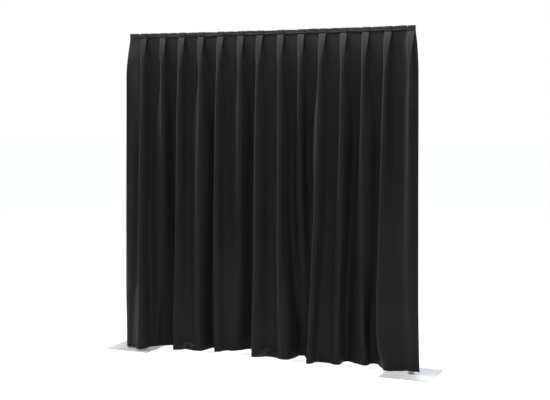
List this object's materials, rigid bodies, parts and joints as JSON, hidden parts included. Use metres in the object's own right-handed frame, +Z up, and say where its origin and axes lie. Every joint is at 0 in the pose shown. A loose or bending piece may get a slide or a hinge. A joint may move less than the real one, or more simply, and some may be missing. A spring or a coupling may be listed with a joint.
{
  "type": "pipe and drape backdrop",
  "caption": "Free-standing backdrop: telescopic uprights on flat base plates, a hooked telescopic crossbar and a wide box-pleated black drape hung from it.",
  "frame": {"origin": "on the floor in the middle between the two uprights", "axes": "+X along the drape to the right seen from the front, -Y is the front, +Z up"},
  "size_m": [3.17, 0.45, 2.99],
  "materials": {
    "plate_paint": "fine powder coat",
    "alloy_tube": "brushed, clear anodised",
    "alloy_inner": "smooth, clear anodised",
    "zinc_steel": "bright zinc plate",
    "cast_alloy": "tumbled casting",
    "black_plastic": "moulded, fine grain",
    "grey_plastic": "moulded",
    "drape_cloth": "fine matte weave",
    "tape": "hook and loop"
  },
  "bodies": {
    "left_upright_outer": {"left_outer_tube": "alloy_tube", "left_guide_bush": "black_plastic", "left_clamp_collar": "cast_alloy"},
    "left_base": {"left_base_plate": "plate_paint", "left_base_spigot": "zinc_steel", "left_base_bolt": "zinc_steel"},
    "left_clamp_knob": {"left_lock_knob": "black_plastic", "left_lock_screw": "zinc_steel"},
    "left_upright_inner": {"left_inner_tube": "alloy_inner", "left_inner_glide": "grey_plastic", "left_slotted_head": "cast_alloy", "left_head_pin": "zinc_steel"},
    "right_upright_outer": {"right_outer_tube": "alloy_tube", "right_guide_bush": "black_plastic", "right_clamp_collar": "cast_alloy"},
    "right_base": {"right_base_plate": "plate_paint", "right_base_spigot": "zinc_steel", "right_base_bolt": "zinc_steel"},
    "right_clamp_knob": {"right_lock_knob": "black_plastic", "right_lock_screw": "zinc_steel"},
    "right_upright_inner": {"right_inner_tube": "alloy_inner", "right_inner_glide": "grey_plastic", "right_slotted_head": "cast_alloy", "right_head_pin": "zinc_steel"},
    "crossbar_outer": {"crossbar_outer_tube": "alloy_tube", "crossbar_guide_bush": "black_plastic", "left_end_plug": "black_plastic", "left_hook": "zinc_steel", "left_hook_pin": "zinc_steel", "drape_panel": "drape_cloth", "drape_header_sleeve": "drape_cloth", "drape_closure_tape": "tape"},
    "crossbar_inner": {"crossbar_inner_tube": "alloy_inner", "crossbar_inner_glide": "grey_plastic", "right_end_plug": "black_plastic", "right_hook": "zinc_steel", "right_hook_pin": "zinc_steel"}
  },
  "joints": [
    {"name": "left_base_turn", "type": "hinge", "parent": "left_upright_outer", "child": "left_base", "pos_m": [-1.36, 0, 0.005], "axis": [0, 0, 1], "continuous": true},
    {"name": "left_knob_turn", "type": "hinge", "parent": "left_upright_outer", "child": "left_clamp_knob", "pos_m": [-1.36, 0.05, 1.641], "axis": [0, 1, 0], "range_deg": [0, 360]},
    {"name": "height", "type": "slide", "parent": "left_upright_outer", "child": "left_upright_inner", "axis": [0, 0, 1], "range_m": [-1.2, 0], "deforming": ["drape_panel"]},
    {"name": "hook_lift", "type": "slide", "parent": "left_upright_inner", "child": "crossbar_outer", "axis": [0, 0, 1], "range_m": [0, 0.065]},
    {"name": "width", "type": "slide", "parent": "crossbar_outer", "child": "crossbar_inner", "axis": [1, 0, 0], "range_m": [0, 0.28]},
    {"name": "right_hook_lift", "type": "slide", "parent": "crossbar_inner", "child": "right_upright_inner", "axis": [0, 0, 1], "range_m": [-0.065, 0]},
    {"name": "right_height", "type": "slide", "parent": "right_upright_inner", "child": "right_upright_outer", "axis": [0, 0, 1], "range_m": [0, 1.2]},
    {"name": "right_base_turn", "type": "hinge", "parent": "right_upright_outer", "child": "right_base", "pos_m": [1.36, 0, 0.005], "axis": [0, 0, 1], "continuous": true},
    {"name": "right_knob_turn", "type": "hinge", "parent": "right_upright_outer", "child": "right_clamp_knob", "pos_m": [1.36, 0.05, 1.641], "axis": [0, 1, 0], "range_deg": [0, 360]}
  ],
  "couplings": [
    {"joint": "right_hook_lift", "follows": "hook_lift", "ratio": -1},
    {"joint": "right_height", "follows": "height", "ratio": -1}
  ]
}
